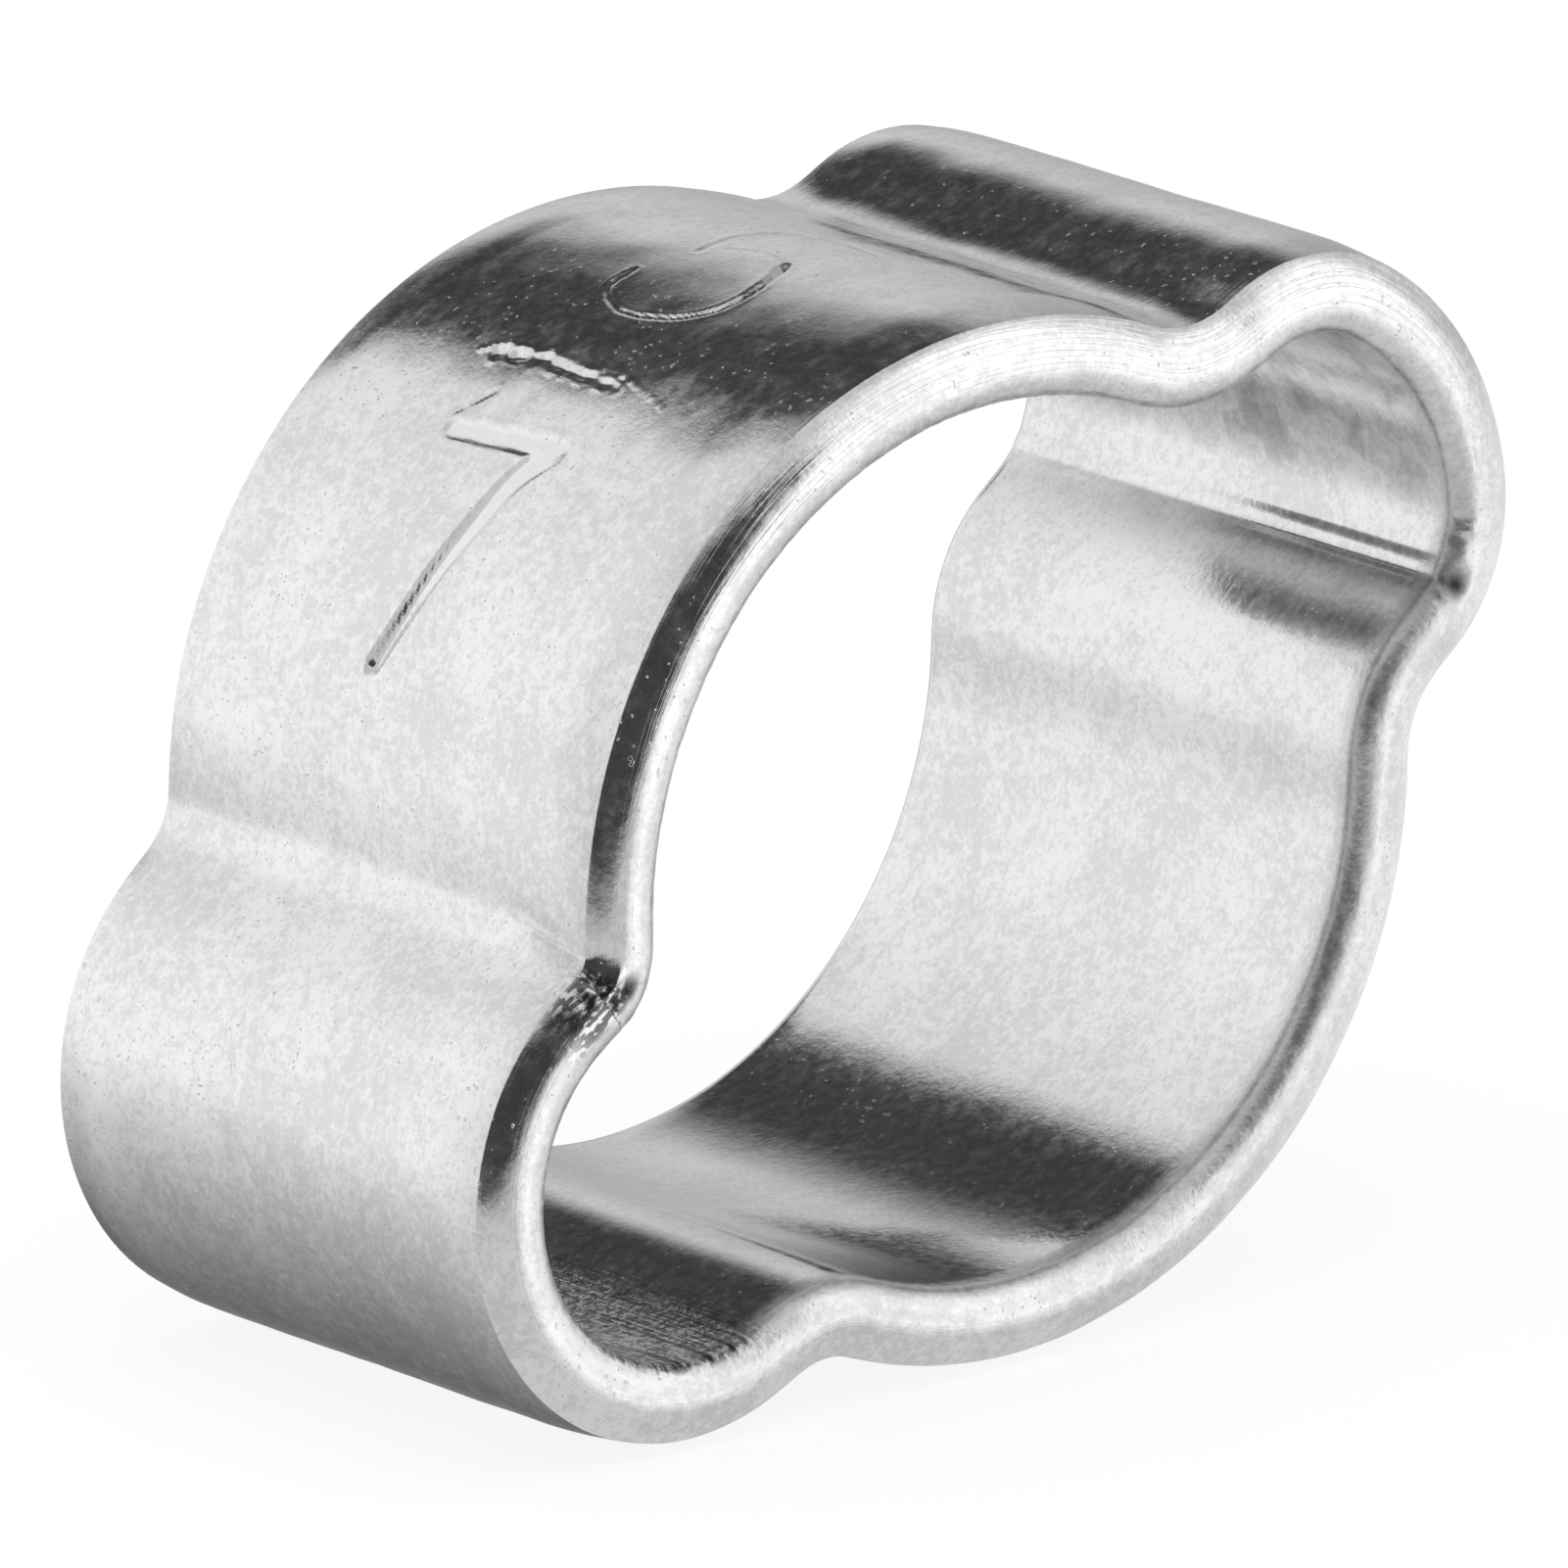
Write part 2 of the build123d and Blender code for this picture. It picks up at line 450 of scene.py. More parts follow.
class SizeMarks:
    """Plain numerals stamped on the ring: 5, a dash and 7, the hose diameters that it clamps."""

    surface_radius = 4.22
    five_angle = math.radians(95.5)
    dash_angle = math.radians(119.2)
    seven_angle = math.radians(143.6)
    half_reach = 1.7
    lip_height = 0.006
    lip_width = 0.04
    full_lip_depth = 0.03
    least_groove = 0.001
    five = (
        Stroke(((-0.74, -0.52), (-0.68, -0.84), (-0.30, -1.04), (0.14, -0.98), (0.44, -0.76),
                (0.50, -0.46), (0.40, -0.10), (0.24, 0.20)), (0.034, 0.055), (0.018, 0.036),
               0.1, (0.2, 0.2)),
        Stroke(((0.24, 0.20), (-0.10, 0.30), (-0.46, 0.18)), (0.05, 0.04), (0.006, 0.004)),
        Stroke(((-0.58, 0.02), (-0.64, 0.50), (-0.46, 0.88), (-0.02, 1.04), (0.42, 1.02)),
               (0.04, 0.05), (0.010, 0.012)),
    )
    dash = (
        Stroke(((-1.11, -0.10), (-0.86, 0.03), (-0.62, 0.00), (-0.38, 0.06), (0.10, 0.03),
                (0.34, 0.08), (0.58, 0.02), (1.12, -0.13)), (0.025, 0.022), (-0.019, -0.017), 0.3),
        Stroke(((-0.92, -0.08), (-0.40, -0.04), (0.10, -0.06), (0.50, -0.09)),
               (0.070, 0.040), (0.020, 0.008), 0.9),
    )
    seven = (
        Stroke(((-0.72, 0.94), (-0.10, 0.99), (0.45, 1.03)), (0.10, 0.120), (0.013, 0.015),
               0.0, (0.75, 0.75)),
        Stroke(((0.45, 0.99), (0.24, 0.66), (0.12, 0.24), (-0.03, -0.22), (-0.18, -0.66),
                (-0.34, -1.06)), (0.150, 0.090), (0.010, 0.062), 0.0, (0.75, 0.25), 0.3),
        Stroke(((-0.84, 1.08), (-0.60, 1.36)), (0.04, 0.03), (0.010, 0.007), 0.6),
    )

    def relief(self, ring_angle: np.ndarray, along: np.ndarray, grain: np.ndarray
               ) -> tuple[np.ndarray, np.ndarray]:
        """Height of the outer face over its plain form where the marks are stamped.

        A groove is flat in its middle and rises to a low lip at each side: minus the depth times a
        smooth fall with the distance to the stroke, plus a narrow ridge just outside it.

        Args:
            ring_angle: Angle round the bore, in radians.
            along: Distance along the bore, positive to the rear.
            grain: Even noise of about unit size, for uneven strokes.

        Returns:
            Height in millimetres, negative in a groove, and where a level floor is burnished.
        """
        groove = np.zeros_like(along)
        burnished = np.zeros_like(along)
        raised = np.zeros_like(along)
        lip = np.zeros_like(along)
        for angle, strokes in (
            (self.five_angle, self.five),
            (self.dash_angle, self.dash),
            (self.seven_angle, self.seven),
        ):
            up = (angle - ring_angle) * self.surface_radius
            for stroke in strokes:
                line = stroke.middle_line()
                near = (np.abs(up) < self.half_reach) & (np.abs(along) < self.half_reach)
                place = np.stack([-along[near], up[near]], axis=1)
                gap = np.linalg.norm(place[:, None, :] - line[None], axis=2)
                closest = gap.argmin(axis=1)
                distance = gap[np.arange(len(gap)), closest]
                heading = np.gradient(line, axis=0)[closest]
                offset = place - line[closest]
                right_hand = np.sign(heading[:, 1] * offset[:, 0] - heading[:, 0] * offset[:, 1])
                share = closest / (len(line) - 1)
                uneven = np.clip(grain[near] * stroke.roughness, -1.2, 1.2)
                half = np.interp(share, (0, 1), stroke.half_width) * (1 + 0.35 * uneven)
                depth = np.interp(share, (0, 1), stroke.depth) * (1 + 0.6 * uneven)
                floor = np.interp(share, (0, 1), stroke.floor)
                lean = 1 + stroke.slant * right_hand * distance / half
                carved = -depth * lean * (1 - smooth_step(floor, 1.0, distance / half))
                ridge = np.exp(-((distance - half - self.lip_width / 2) / self.lip_width * 2) ** 2)
                groove[near] = np.minimum(groove[near], carved)
                raised[near] = np.maximum(raised[near], carved)
                if stroke.floor[0] > 0.5:
                    burnished[near] = np.maximum(
                        burnished[near], smooth_step(1.0, floor, distance / half))
                low = self.lip_height * min(1.0, stroke.depth[0] / self.full_lip_depth)
                lip[near] = np.maximum(lip[near], ridge * low * (1 + uneven))
        return np.where(groove < -self.least_groove, groove, lip + raised), burnished


@dataclass(frozen=True)
class ToolMark:
    """One dent or ridge left by the forming tools.

    Args:
        station: Place along the path.
        half_station: Half its length along the path.
        height: Height over the plain form, negative for a dent.
        along: Middle of its reach along the bore.
        half_along: Half its reach along the bore.
        depth: Middle of its reach into the wall, from the outside.
        half_depth: Half its reach into the wall.
        nick_shade: How darkly shade is painted into the mark, from 0 to 1.
    """

    station: float
    half_station: float
    height: float
    along: float
    half_along: float
    depth: float
    half_depth: float
    nick_shade: float = 0.0

    def reach(self, station: np.ndarray, line: "SectionLine", wall: float) -> np.ndarray:
        """Share of the mark over the grid: a bell in each of the three directions."""
        there = np.exp(-((station - self.station) / self.half_station) ** 2)
        depth = wall / 2 - line.across
        across = np.exp(-((depth - self.depth) / self.half_depth) ** 4)
        across = across * np.exp(-((line.along - self.along) / self.half_along) ** 4)
        return there[:, None] * across[None]


class EvenNoise:
    """Smooth random field: a sum of cosines with seeded directions and phases."""

    def __init__(self, seed: int, period: float, finest: float, waves: int, path_length: float):
        """Draw the waves.

        Args:
            seed: Seed of the random draws.
            period: Longest wave length.
            finest: Shortest wave length.
            waves: Number of waves.
            path_length: Length of the closed path, which each wave fits a whole number of times.
        """
        draw = np.random.default_rng(seed)
        length = np.exp(draw.uniform(math.log(finest), math.log(period), waves))
        heading = draw.uniform(0, math.pi, waves)
        self.round = np.rint(path_length * np.cos(heading) / length) * 2 * math.pi / path_length
        self.across = 2 * math.pi * np.sin(heading) / length
        self.phase = draw.uniform(0, 2 * math.pi, waves)
        self.weight = length / math.sqrt(np.sum(length**2) / 2)

    def at(self, station: np.ndarray, walked: np.ndarray) -> np.ndarray:
        """Field of about unit size over a grid of path stations and section lengths."""
        total = np.zeros((len(station), len(walked)))
        for k in range(len(self.phase)):
            turn = self.round[k] * station[:, None] + self.across[k] * walked[None] + self.phase[k]
            total += self.weight[k] * np.cos(turn)
        return total


@dataclass
class ClampBand:
    """The band itself: one closed surface over path stations and section points."""

    name: str = "clamp_band_finish"
    node: str = "clamp_band"
    slot: str = "zinc_plated_steel"
    stations: int = 466
    section: WallSection = field(default_factory=WallSection)
    path: BandPath = field(default_factory=BandPath)
    front_path: BandPath = field(default_factory=lambda: BandPath(
        EarShape(1.73, 1.54, 1.44, math.radians(6.5), math.radians(94.0), 0.06)))
    marks: SizeMarks = field(default_factory=SizeMarks)
    broad_wave: float = 0.0042
    short_wave: float = 0.0012
    striation: float = 0.0006
    torn_wave: float = 0.0024
    facet: float = 0.0016
    margin: float = 0.003
    closing_step: float = 0.02
    marked_ring: tuple[float, float] = (76.0, 162.0)
    dash_patch: float = 121.0
    streak_end: float = 131.0
    # Seed, longest and shortest wave, and number of waves of each random field
    broad_field: Waves = (11, 3.2, 1.1, 40)
    short_field: Waves = (12, 0.8, 0.36, 90)
    striation_field: Waves = (13, 0.16, 0.07, 30)
    grain_field: Waves = (14, 0.30, 0.10, 60)
    torn_field: Waves = (15, 0.22, 0.12, 60)
    striation_stretch: float = 0.03
    # Stations where each zone starts, is whole, fades and ends
    pinched_b: Window = (20.6, 21.6, 23.6, 24.6)
    notch_b: Window = (22.1, 22.35, 23.0, 23.4)
    scored_b: Window = (25.0, 25.8, 27.6, 28.3)
    stained_a: Window = (9.4, 10.2, 12.4, 13.0)
    painted_shade_a: Window = (8.25, 8.85, 8.94, 9.00)
    tool_marks: tuple[ToolMark, ...] = (
        # Creases inside ear A's lower root, which deepen towards the front
        ToolMark(9.10, 0.075, 0.006, -0.2, 3.6, 0.72, 0.07),
        ToolMark(9.22, 0.055, -0.005, -0.4, 3.6, 0.72, 0.07),
        ToolMark(9.36, 0.080, 0.006, -0.4, 3.6, 0.72, 0.07),
        ToolMark(8.97, 0.050, -0.016, -0.8, 3.4, 0.72, 0.07),
        # Nick and burr where those creases meet the front edge, with painted shade in the nick
        ToolMark(9.00, 0.150, -0.034, -2.66, 0.18, 0.53, 0.13, 1.0),
        ToolMark(8.82, 0.060, -0.012, -2.60, 0.10, 0.60, 0.06, 0.8),
        ToolMark(9.53, 0.050, 0.026, -2.66, 0.12, 0.56, 0.07),
        ToolMark(9.62, 0.050, -0.010, -2.62, 0.12, 0.60, 0.07),
        # Pinched front corner in ear B's upper root, with a smeared hook beside a nick that holds
        # painted shade
        ToolMark(22.26, 0.130, -0.034, -2.68, 0.12, 0.45, 0.07, 1.0),
        ToolMark(22.46, 0.130, -0.024, -2.68, 0.12, 0.39, 0.05, 0.9),
        ToolMark(22.28, 0.170, 0.018, -2.68, 0.12, 0.30, 0.04),
        ToolMark(21.98, 0.060, -0.012, -2.20, 0.30, 0.00, 0.10),
        ToolMark(21.84, 0.050, -0.009, -2.15, 0.30, 0.00, 0.10),
    )

    def build(self, material: bpy.types.Material) -> bpy.types.Object:
        """Make the mesh, dress it and put it in the place of the CAD node.

        Args:
            material: Finish of the band.

        Returns:
            The piece.
        """
        station = self._stations()
        line = self.section.contour()
        points, masks = self._surface(station, line)
        mesh = self._mesh(points)
        for name, values in masks.items():
            layer = mesh.attributes.new(name, "FLOAT", "POINT")
            layer.data.foreach_set("value", values.astype(np.float32).ravel())
        self._unwrap(mesh, station, line)
        mesh.materials.append(material)
        piece = add_object(self.name, mesh)
        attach(piece, "root")
        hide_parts(self.node)
        return piece

    def _stations(self) -> np.ndarray:
        """Places along the path, closest together under the size marks and at the tool marks."""
        fine = np.linspace(0.0, self.path.length, 8000)
        low, high = (self.path.station_of_ring(math.radians(angle)) for angle in self.marked_ring)
        density = 1.0 + 2.6 * window(low - 0.5, low, high, high + 0.5, fine)
        for start, end, gain in ((8.8, 9.6, 1.6), (21.9, 23.1, 1.4)):
            density += gain * window(start - 0.3, start, end, end + 0.3, fine)
        reach = np.concatenate([[0.0], np.cumsum((density[1:] + density[:-1]) / 2)])
        return np.interp(np.arange(self.stations) / self.stations * reach[-1], reach, fine)

    def _surface(
        self, station: np.ndarray, line: SectionLine
    ) -> tuple[np.ndarray, dict[str, np.ndarray]]:
        """Points of the band, and the masks that its finish reads.

        A point is the path's point, plus its outward normal times the section's distance across
        the wall, plus the section's distance along the bore. The relief then moves it along the
        section's own normal. At the front of ear B's upper root, the path goes over into one
        that is pinched tighter.

        Args:
            station: Lengths along the path.
            line: The section.

        Returns:
            Points in metres, one row of the grid for each station, and the named masks.
        """
        masks = self._masks(station, line)
        relief = self._relief(station, line, masks)
        across = (line.across[None] + relief * np.cos(line.angle)[None])[..., None]
        along = line.along[None] + relief * np.sin(line.angle)[None]
        places = []
        for path in (self.path, self.front_path):
            middle, outward = path.at(path.same_place(self.path, station))
            places.append(middle[:, None] + outward[:, None] * across)
        pinch = window(*self.pinched_b, station)
        front = (pinch[:, None] * smooth_step(-1.5, -2.6, line.along)[None])[..., None]
        place = places[0] * (1 - front) + places[1] * front
        return np.stack([place[..., 0], along, place[..., 1]], axis=2) * MILLIMETRE, masks

    def _masks(self, station: np.ndarray, line: SectionLine) -> dict[str, np.ndarray]:
        """Where the cut is smooth or torn, where the folds, bruises, scores and stains lie, and
        where shade is painted.
        """
        depth = line.front_depth
        rows = np.ones((len(station), 1))
        smooth_cut = window(0.03, 0.08, 0.45, 0.53, depth)
        torn_cut = smooth_step(0.43, 0.50, depth) * (depth < 1)
        front = smooth_step(-1.6, -2.3, line.along)
        outer = depth < 0.62
        root_b = window(*self.notch_b, station)
        floor_b = window(*self.scored_b, station)
        ear_a = window(*self.stained_a, station)
        bruise = root_b[:, None] * (smooth_cut * front * outer)[None]
        from_dash = np.degrees(self.path.ring_angle(station)) - self.dash_patch
        near_dash = np.exp(-(from_dash / 5.0) ** 2)
        patch = near_dash[:, None] * (
            np.exp(-((line.along + 1.2) / 0.5) ** 2) * (depth < 0))[None]
        scored = floor_b[:, None] * (smooth_step(1.0, -0.6, line.along) * line.inside)[None]
        # Painted shade standing for a dark reflection: a darker stretch below the creases of ear
        # A's lower root, with a crisp upper edge
        shade = window(*self.painted_shade_a, station)
        shade = shade[:, None] * (smooth_step(3.6, -0.5, line.along) * line.inside)[None]
        # Painted shade, nearly black, in the nicks of the tool marks
        nick_shade = np.zeros_like(shade)
        for mark in self.tool_marks:
            nick_shade = np.maximum(nick_shade, mark.nick_shade * mark.reach(station, line, self.section.wall))
        # The cut is streaked most on ear A and on top of the ring, and not at all in a bruise
        high = self.path.station_of_ring(math.radians(self.streak_end))
        streaked = 0.25 + 0.75 * window(9.5, 10.5, high - 0.8, high + 0.8, station)
        return {
            "crown": streaked[:, None] * smooth_cut[None] * (1 - bruise),
            "torn": np.clip(
                rows * torn_cut[None] + 0.3 * bruise + 0.5 * patch + 0.4 * scored, 0, 1),
            "inside": rows * line.inside[None],
            "fold": self.path.fold_mask(station)[:, None] * np.ones((1, len(line.across))),
            "bruise": bruise,
            "scored": scored,
            "scratched": scored * smooth_step(-0.9, -1.8, line.along)[None],
            "stain": ear_a[:, None] * line.inside[None],
            "shade": shade,
            "nick_shade": nick_shade,
            "stamped": np.zeros((len(station), len(line.across))),
        }

    def _relief(
        self, station: np.ndarray, line: SectionLine, masks: dict[str, np.ndarray]
    ) -> np.ndarray:
        """Height over the plain form: waves of the pressing, the cut's texture, and all marks."""
        walked = line.walked()
        length = self.path.length
        broad = EvenNoise(*self.broad_field, length).at(station, walked)
        short = EvenNoise(*self.short_field, length).at(station, walked)
        crown = masks["crown"]
        across = EvenNoise(*self.striation_field, length)
        # Drawn out along the path
        across.round = across.round * self.striation_stretch
        torn = EvenNoise(*self.torn_field, length).at(station, walked)
        calm = 1 - 0.7 * smooth_step(0.0, 0.1, line.front_depth)
        relief = (self.broad_wave * broad + self.short_wave * short) * calm[None]
        relief += self.striation * across.at(station, walked) * crown
        relief += self.torn_wave * 0.5 * torn * masks["torn"]
        relief += self.facet * torn * masks["bruise"]
        for mark in self.tool_marks:
            relief += mark.height * mark.reach(station, line, self.section.wall)
        outer = line.front_depth < 0
        ring_angle = self.path.ring_angle(station)
        grain = EvenNoise(*self.grain_field, length).at(station, walked)
        angle_grid = np.repeat(ring_angle[:, None], int(outer.sum()), axis=1)
        along_grid = np.repeat(line.along[None, outer], len(station), axis=0)
        stamped, burnished = self.marks.relief(angle_grid, along_grid, grain[:, outer])
        relief[:, outer] += stamped
        masks["stamped"][:, outer] = burnished
        # Lowered as a whole, so that the piece stays inside its box
        return relief - np.quantile(relief, 0.9995) - self.margin

    def _mesh(self, points: np.ndarray) -> bpy.types.Mesh:
        """Closed mesh of faces that point outwards, over the grid, which wraps both ways."""
        rows, columns = points.shape[:2]
        index = np.arange(rows * columns).reshape(rows, columns)
        ahead = np.roll(index, -1, axis=0)
        faces = np.stack(
            [index, ahead, np.roll(ahead, -1, axis=1), np.roll(index, -1, axis=1)], axis=2
        ).reshape(-1, 4)
        mesh = bpy.data.meshes.new(self.name)
        mesh.vertices.add(rows * columns)
        mesh.vertices.foreach_set("co", points.astype(np.float32).ravel())
        mesh.loops.add(faces.size)
        mesh.loops.foreach_set("vertex_index", faces.astype(np.int32).ravel())
        mesh.polygons.add(len(faces))
        mesh.polygons.foreach_set("loop_start", np.arange(0, faces.size, 4, dtype=np.int32))
        mesh.update(calc_edges=True)
        mesh.validate()
        mesh.polygons.foreach_set("use_smooth", np.ones(len(faces), dtype=bool))
        return mesh

    def _unwrap(self, mesh: bpy.types.Mesh, station: np.ndarray, line: SectionLine) -> None:
        """UV map in centimetres: the path's length, and the way round the section."""
        walked = line.walked()
        rows, columns = len(station), len(walked)
        u = np.append(station, self.path.length)
        v = np.append(walked, walked[-1] + self.closing_step)
        corner = np.zeros(len(mesh.loops), dtype=np.int32)
        mesh.loops.foreach_get("vertex_index", corner)
        row, column = corner // columns, corner % columns
        row, column = row.reshape(-1, 4), column.reshape(-1, 4)
        row = np.where((row == 0) & (row.max(axis=1, keepdims=True) == rows - 1), rows, row)
        wraps = (column == 0) & (column.max(axis=1, keepdims=True) == columns - 1)
        column = np.where(wraps, columns, column)
        layer = mesh.uv_layers.new(name="band")
        flat = np.stack([u[row.ravel()], v[column.ravel()]], axis=1) / UNWRAP_MILLIMETRES
        layer.data.foreach_set("uv", flat.astype(np.float32).ravel())


class Nodes:
    """Short hand for making and joining shader nodes in one material or world."""

    def __init__(self, owner: bpy.types.Material | bpy.types.World) -> None:
        """Empty the owner's node tree and keep it."""
        owner.use_nodes = True
        self.tree = owner.node_tree
        self.tree.nodes.clear()

    def add(self, kind: str, **values: object) -> bpy.types.Node:
        """New node of a kind, with properties and unlinked inputs set by name.

        Args:
            kind: Blender's name of the node type.
            **values: Properties of the node, or of its inputs where it has no such property.

        Returns:
            The node.
        """
        node = self.tree.nodes.new(kind)
        for name, value in values.items():
            if hasattr(node, name):
                setattr(node, name, value)
            else:
                node.inputs[name.replace("_", " ")].default_value = value
        return node

    def join(self, source: Socket, target: Socket) -> None:
        """Link an output to an input."""
        self.tree.links.new(source, target)

    def math(self, operation: str, *terms: object, clamp: bool = False) -> Socket:
        """Result of a Math node on numbers and sockets."""
        node = self.tree.nodes.new("ShaderNodeMath")
        node.operation = operation
        node.use_clamp = clamp
        for place, term in enumerate(terms):
            if isinstance(term, Socket):
                self.join(term, node.inputs[place])
            else:
                node.inputs[place].default_value = term
        return node.outputs[0]

    def times(self, first: Socket, second: object) -> Socket:
        """Product of a socket and a number or another socket."""
        return self.math("MULTIPLY", first, second)

    def plus(self, first: Socket, second: object) -> Socket:
        """Sum of a socket and a number or another socket."""
        return self.math("ADD", first, second)

    def less(self, share: Socket) -> Socket:
        """What a share leaves of 1."""
        return self.math("SUBTRACT", 1.0, share)

    def looked_at(self) -> Socket:
        """1 where the camera, a reflection or glass looks, and 0 for light."""
        rays = self.add("ShaderNodeLightPath")
        seen = self.plus(rays.outputs["Is Camera Ray"], rays.outputs["Is Glossy Ray"])
        return self.math("ADD", seen, rays.outputs["Is Transmission Ray"], clamp=True)

    def finish(self, shader: Socket, kind: str = "ShaderNodeOutputMaterial") -> None:
        """Join the finished shader to a new output."""
        self.join(shader, self.add(kind).inputs["Surface"])

    def down_to(self, end: float, share: Socket) -> Socket:
        """1 where a share is 0, and an end value where it is 1."""
        return self.remap(share, 0.0, 1.0, 1.0, end)

    def remap(self, value: Socket, low: float, high: float, start: float, end: float) -> Socket:
        """Value taken from low..high to start..end, and held at the ends."""
        node = self.tree.nodes.new("ShaderNodeMapRange")
        for name, number in (("From Min", low), ("From Max", high), ("To Min", start),
                             ("To Max", end)):
            node.inputs[name].default_value = number
        self.join(value, node.inputs["Value"])
        return node.outputs["Result"]

    def noise(self, place: Socket, size: float, detail: float = 2.0,
              roughness: float = 0.5) -> Socket:
        """Noise whose features are about that many metres across, from 0 to 1."""
        node = self.tree.nodes.new("ShaderNodeTexNoise")
        node.inputs["Scale"].default_value = 1.0 / size
        node.inputs["Detail"].default_value = detail
        node.inputs["Roughness"].default_value = roughness
        self.join(place, node.inputs["Vector"])
        return node.outputs["Fac"]

    def streaks(self, unwrapped: Socket, along: float, across: float,
                detail: float = 2.0) -> Socket:
        """Noise drawn out to two lengths in millimetres, along the path and across it."""
        stretch = self.tree.nodes.new("ShaderNodeVectorMath")
        stretch.operation = "MULTIPLY"
        stretch.inputs[1].default_value = (
            UNWRAP_MILLIMETRES / along, UNWRAP_MILLIMETRES / across, 0.0)
        self.join(unwrapped, stretch.inputs[0])
        return self.noise(stretch.outputs["Vector"], 1.0, detail)

    def mask(self, name: str) -> Socket:
        """Value of one of the mesh's named masks."""
        return self.add("ShaderNodeAttribute", attribute_name=name).outputs["Fac"]


@dataclass(frozen=True)
class Cover:
    """Random pattern that darkens the plate where one of the mesh's masks lies.

    Args:
        mask: Name of the mask.
        size: Size of the pattern's features in metres, or where they are drawn out, their
            lengths along the path and across it in millimetres.
        detail: Detail of the noise.
        read: The two values of the noise between which it is read.
        darkness: Darkness at the first of these values and at the second.
        roughness: Weight of the finer detail, where the features aren't drawn out.
    """

    mask: str
    size: tuple[float, ...]
    detail: float
    read: Pair
    darkness: Pair
    roughness: float = 0.5


@dataclass(frozen=True)
class ZincPlate:
    """Semi-bright zinc over tumbled steel: mottled, finely pitted, with drawn-out folds."""

    name: str = "zinc_plate"
    pale: float = 0.97
    dull: float = 0.79
    # Share of the grey kept on the bore face, as painted shade
    bore_shade: float = 0.96
    inside_calm: float = 0.4
    inside_fewer: float = 0.8
    speck_dull: float = 0.85
    burnish: float = 0.7
    blue_cast: float = 1.006
    roughness: float = 0.09
    rough_change: float = 0.08
    rough_patch: float = 0.11
    rough_torn: float = 0.24
    grain_depth: float = 0.0000008
    mottle_depth: float = 0.0000012
    speck_depth: float = 0.0000040
    streak_depth: float = 0.0000022
    torn_depth: float = 0.0000030
    pocked_depth: float = 0.0000090
    # Size in metres, detail and roughness of each noise
    cloud_noise: tuple[float, float, float] = (0.0012, 3.0, 0.6)
    mottle_noise: tuple[float, float, float] = (0.00011, 4.0, 0.65)
    grain_noise: tuple[float, float, float] = (0.000045, 2.0, 0.6)
    speck_noise: tuple[float, float, float] = (0.000055, 1.0, 0.5)
    tone_mix: tuple[float, float, float] = (0.30, 0.40, 0.30)
    # Values between which the noises are read
    tone_range: Pair = (0.44, 0.555)
    rough_range: Pair = (0.36, 0.64)
    haze_range: Pair = (0.42, 0.72)
    speck_range: Pair = (0.72, 0.76)
    crowd_range: Pair = (0.42, 0.62)
    crowding: Pair = (-0.05, 0.025)
    # Lengths of drawn-out features along the path and across it, in millimetres
    haze_lines: Pair = (0.30, 0.20)
    cut_lines: Pair = (2.2, 0.050)
    fold_lines: Pair = (0.9, 0.045)
    score_lines: Pair = (0.045, 1.6)
    haze_detail: float = 4.0
    groove_width: float = 0.035
    cut_share: float = 0.6
    fold_share: float = 0.5
    score_share: float = 7.0
    # How dark the painted shade in the nicks is
    nick_shade_darkness: float = 0.95
    covers: tuple[Cover, ...] = (
        Cover("stain", (0.00055,), 3.0, (0.50, 0.64), (0.0, 0.34), 0.55),
        Cover("bruise", (0.10, 0.050), 1.0, (0.52, 0.57), (0.78, 0.0)),
        # Painted shade below ear A's creases, standing for a dark reflection
        Cover("shade", (0.00060,), 3.0, (0.35, 0.65), (0.42, 0.64)),
        Cover("scored", (0.000060,), 3.0, (0.46, 0.54), (0.10, 0.72), 0.6),
        Cover("scratched", (0.050, 1.6), 2.0, (0.44, 0.38), (0.0, 0.8)),
    )

    def material(self) -> bpy.types.Material:
        """Make the material.

        Returns:
            Metal whose colour, roughness and fine relief come from noise, masks and the unwrap.
        """
        made = bpy.data.materials.new(self.name)
        nodes = Nodes(made)
        place = nodes.add("ShaderNodeTexCoord").outputs["Object"]
        unwrapped = nodes.add("ShaderNodeUVMap", uv_map="band").outputs["UV"]
        clouds = nodes.noise(place, *self.cloud_noise)
        mottle = nodes.noise(place, *self.mottle_noise)
        grain = nodes.noise(place, *self.grain_noise)
        crowded = nodes.remap(clouds, *self.crowd_range, *self.crowding)
        fine = nodes.plus(nodes.noise(place, *self.speck_noise), crowded)
        specks = nodes.remap(fine, *self.speck_range, 0.0, 1.0)
        fewer = nodes.times(nodes.mask("inside"), self.inside_fewer)
        specks = nodes.times(specks, nodes.less(fewer))

        shader = nodes.add("ShaderNodeBsdfPrincipled", Metallic=1.0)
        parts = [nodes.times(*pair) for pair in zip((clouds, mottle, grain), self.tone_mix)]
        tone = nodes.plus(nodes.plus(parts[0], parts[1]), parts[2])
        shade = self._shade(nodes, place, unwrapped, tone, specks)
        colour = nodes.add("ShaderNodeCombineColor")
        nodes.join(shade, colour.inputs["Red"])
        nodes.join(shade, colour.inputs["Green"])
        nodes.join(nodes.times(shade, self.blue_cast), colour.inputs["Blue"])
        nodes.join(colour.outputs["Color"], shader.inputs["Base Color"])
        rough = nodes.remap(mottle, *self.rough_range, self.roughness,
                            self.roughness + self.rough_change)
